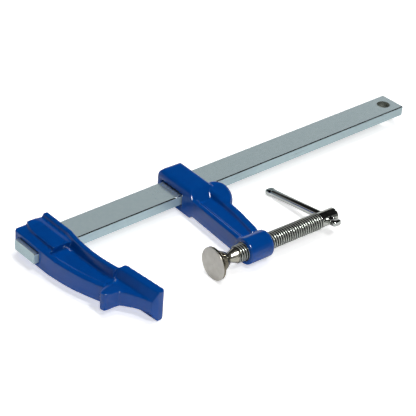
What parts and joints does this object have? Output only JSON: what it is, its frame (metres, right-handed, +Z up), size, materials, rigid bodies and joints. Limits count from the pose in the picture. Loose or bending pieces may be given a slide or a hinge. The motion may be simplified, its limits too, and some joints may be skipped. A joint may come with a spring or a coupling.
{
  "type": "bar screw clamp",
  "caption": "Bar clamp with a flat steel bar, a fixed cast jaw, a sliding cast arm, a screw spindle with a round swivel pad, and a sliding tommy bar.",
  "frame": {"origin": "middle of the fixed jaw's clamping face, level with the spindle when the arm stands square, in the castings' middle plane", "axes": "+X along the bar from the fixed jaw towards the screw, +Y from the spindle towards the bar, +Z up with the clamp lying on its side"},
  "size_m": [0.478, 0.1579, 0.032],
  "materials": {
    "steel_bar": "zinc-plated flat bar with a soft sheen",
    "blue_paint": "gloss blue paint over cast iron",
    "bright_steel": "bright plated turned steel",
    "pad_steel": "fine-turned plated steel"
  },
  "bodies": {
    "frame": {"guide_bar": "steel_bar", "fixed_jaw": "blue_paint"},
    "arm": {"sliding_arm": "blue_paint"},
    "pad": {"swivel_pad": "pad_steel"},
    "screw": {"spindle": "bright_steel"},
    "handle": {"tommy_bar": "bright_steel"}
  },
  "joints": [
    {"name": "arm_slide", "type": "slide", "parent": "frame", "child": "arm", "axis": [1, 0, 0], "range_m": [-0.0247, 0.27]},
    {"name": "pad_advance", "type": "slide", "parent": "arm", "child": "pad", "axis": [-0.9994, 0.0349, 0], "range_m": [-0.0193, 0.0468]},
    {"name": "spindle_turn", "type": "hinge", "parent": "pad", "child": "screw", "pos_m": [0.07375, 0.00198, 0], "axis": [-0.9994, 0.0349, 0], "range_deg": [-2520, 6120]},
    {"name": "tommy_slide", "type": "slide", "parent": "screw", "child": "handle", "axis": [0.0345, 0.9871, -0.1564], "range_m": [-0.066, 0.001]}
  ],
  "couplings": [
    {"joint": "pad_advance", "follows": "spindle_turn", "m_per_rad": 0.00043768}
  ]
}
